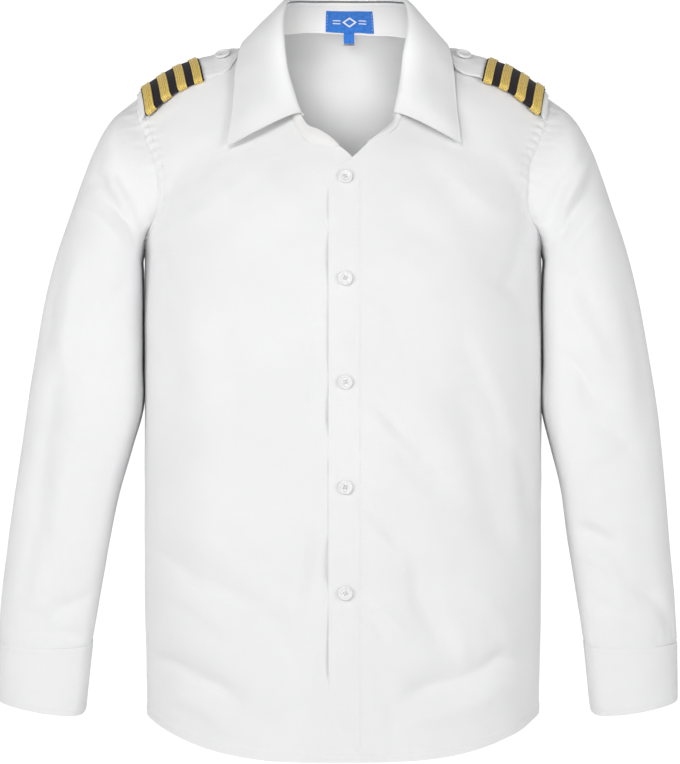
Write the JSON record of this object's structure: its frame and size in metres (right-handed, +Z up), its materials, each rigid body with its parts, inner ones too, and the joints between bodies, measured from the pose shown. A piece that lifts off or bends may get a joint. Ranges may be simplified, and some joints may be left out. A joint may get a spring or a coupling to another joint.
{
  "type": "epaulette shirt",
  "caption": "Long-sleeved shirt with a pointed collar, shoulder straps and barred rank sliders, in its worn shape and open inside.",
  "frame": {"origin": "between the shoulders at the base of the neck, where the wearer's shoulders hold the shirt", "axes": "+Z up, the front faces -Y, +X towards the wearer's left"},
  "size_m": [0.5416, 0.2106, 0.6065],
  "materials": {
    "white_poplin": "plain woven cotton blend",
    "button_white": "satin",
    "slider_black": "napped felt",
    "gold_braid": "ribbed braid",
    "label_blue": "woven label"
  },
  "bodies": {
    "root": {"back": "white_poplin", "collar_leaf": "white_poplin", "collar_stand": "white_poplin", "cuff_left": "white_poplin", "cuff_right": "white_poplin", "front_left": "white_poplin", "front_right": "white_poplin", "sleeve_upper_left": "white_poplin", "sleeve_lower_left": "white_poplin", "sleeve_upper_right": "white_poplin", "sleeve_lower_right": "white_poplin", "strap_left": "white_poplin", "strap_right": "white_poplin", "button_1": "button_white", "button_2": "button_white", "button_3": "button_white", "button_4": "button_white", "button_5": "button_white", "cuff_button_left": "button_white", "cuff_button_right": "button_white", "strap_button_left": "button_white", "strap_button_right": "button_white", "slider_left": "slider_black", "slider_right": "slider_black", "bar_left_1": "gold_braid", "bar_left_2": "gold_braid", "bar_left_3": "gold_braid", "bar_left_4": "gold_braid", "bar_right_1": "gold_braid", "bar_right_2": "gold_braid", "bar_right_3": "gold_braid", "bar_right_4": "gold_braid", "neck_label": "label_blue", "size_tab": "label_blue"}
  },
  "joints": []
}
